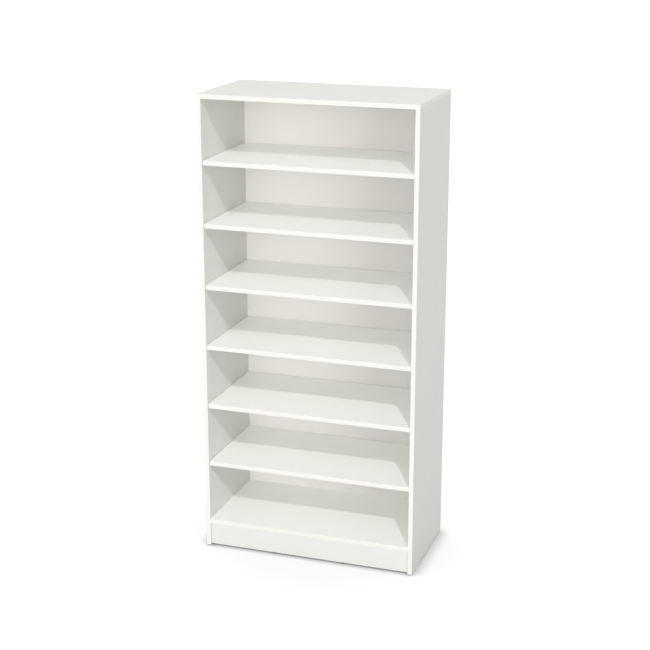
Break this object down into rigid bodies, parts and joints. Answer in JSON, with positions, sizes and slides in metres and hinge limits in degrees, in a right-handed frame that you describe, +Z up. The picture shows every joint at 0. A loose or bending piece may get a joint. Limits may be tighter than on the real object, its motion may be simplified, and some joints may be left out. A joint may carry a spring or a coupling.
{
  "type": "bookcase with adjustable shelves",
  "caption": "Tall white open-fronted bookcase with adjustable pin-supported shelves, recessed plinth and thin back.",
  "frame": {"origin": "on the floor under the middle of the bookcase", "axes": "+Z up, front towards -Y, +X to the right as seen from the front"},
  "size_m": [0.91, 0.465, 1.93],
  "materials": {
    "white_board": "white melamine-faced chipboard, satin with a fine pearl texture; raw chipboard where it has no edge band",
    "edge_band": "slightly warm white plastic edge band, satin",
    "hardboard": "thin hardboard, white lacquered front, raw brown rear",
    "pin_steel": "nickel-plated steel",
    "cam_zinc": "cast zinc",
    "bolt_steel": "zinc-plated steel",
    "dowel_wood": "beech dowel",
    "glide_plastic": "dark plastic",
    "cap_plastic": "white plastic",
    "nail_steel": "bright steel wire"
  },
  "bodies": {
    "carcass": {"back_nails": "nail_steel", "back_panel": "hardboard", "bottom_bolts": "bolt_steel", "bottom_cams": "cam_zinc", "bottom_dowels": "dowel_wood", "bottom_edging": "edge_band", "bottom_panel": "white_board", "front_plinth": "white_board", "front_plinth_bolts": "bolt_steel", "front_plinth_cams": "cam_zinc", "front_plinth_dowels": "dowel_wood", "front_plinth_glides": "glide_plastic", "left_side_edging": "edge_band", "left_side_glides": "glide_plastic", "left_side_panel": "white_board", "rear_plinth": "white_board", "rear_plinth_bolts": "bolt_steel", "rear_plinth_cams": "cam_zinc", "rear_plinth_dowels": "dowel_wood", "rear_plinth_glides": "glide_plastic", "right_side_edging": "edge_band", "right_side_glides": "glide_plastic", "right_side_panel": "white_board", "shelf_1_pins": "pin_steel", "shelf_2_pins": "pin_steel", "shelf_3_pins": "pin_steel", "shelf_4_pins": "pin_steel", "shelf_5_pins": "pin_steel", "shelf_6_pins": "pin_steel", "top_bolts": "bolt_steel", "top_cam_caps": "cap_plastic", "top_cams": "cam_zinc", "top_dowels": "dowel_wood", "top_edging": "edge_band", "top_panel": "white_board"},
    "shelf_1_body": {"shelf_1": "white_board", "shelf_1_edging": "edge_band"},
    "shelf_2_body": {"shelf_2": "white_board", "shelf_2_edging": "edge_band"},
    "shelf_3_body": {"shelf_3": "white_board", "shelf_3_edging": "edge_band"},
    "shelf_4_body": {"shelf_4": "white_board", "shelf_4_edging": "edge_band"},
    "shelf_5_body": {"shelf_5": "white_board", "shelf_5_edging": "edge_band"},
    "shelf_6_body": {"shelf_6": "white_board", "shelf_6_edging": "edge_band"}
  },
  "joints": [
    {"name": "shelf_1_draw", "type": "slide", "parent": "carcass", "child": "shelf_1_body", "axis": [0, -1, 0], "range_m": [0, 0.453]},
    {"name": "shelf_2_draw", "type": "slide", "parent": "carcass", "child": "shelf_2_body", "axis": [0, -1, 0], "range_m": [0, 0.453]},
    {"name": "shelf_3_draw", "type": "slide", "parent": "carcass", "child": "shelf_3_body", "axis": [0, -1, 0], "range_m": [0, 0.453]},
    {"name": "shelf_4_draw", "type": "slide", "parent": "carcass", "child": "shelf_4_body", "axis": [0, -1, 0], "range_m": [0, 0.453]},
    {"name": "shelf_5_draw", "type": "slide", "parent": "carcass", "child": "shelf_5_body", "axis": [0, -1, 0], "range_m": [0, 0.453]},
    {"name": "shelf_6_draw", "type": "slide", "parent": "carcass", "child": "shelf_6_body", "axis": [0, -1, 0], "range_m": [0, 0.453]}
  ]
}
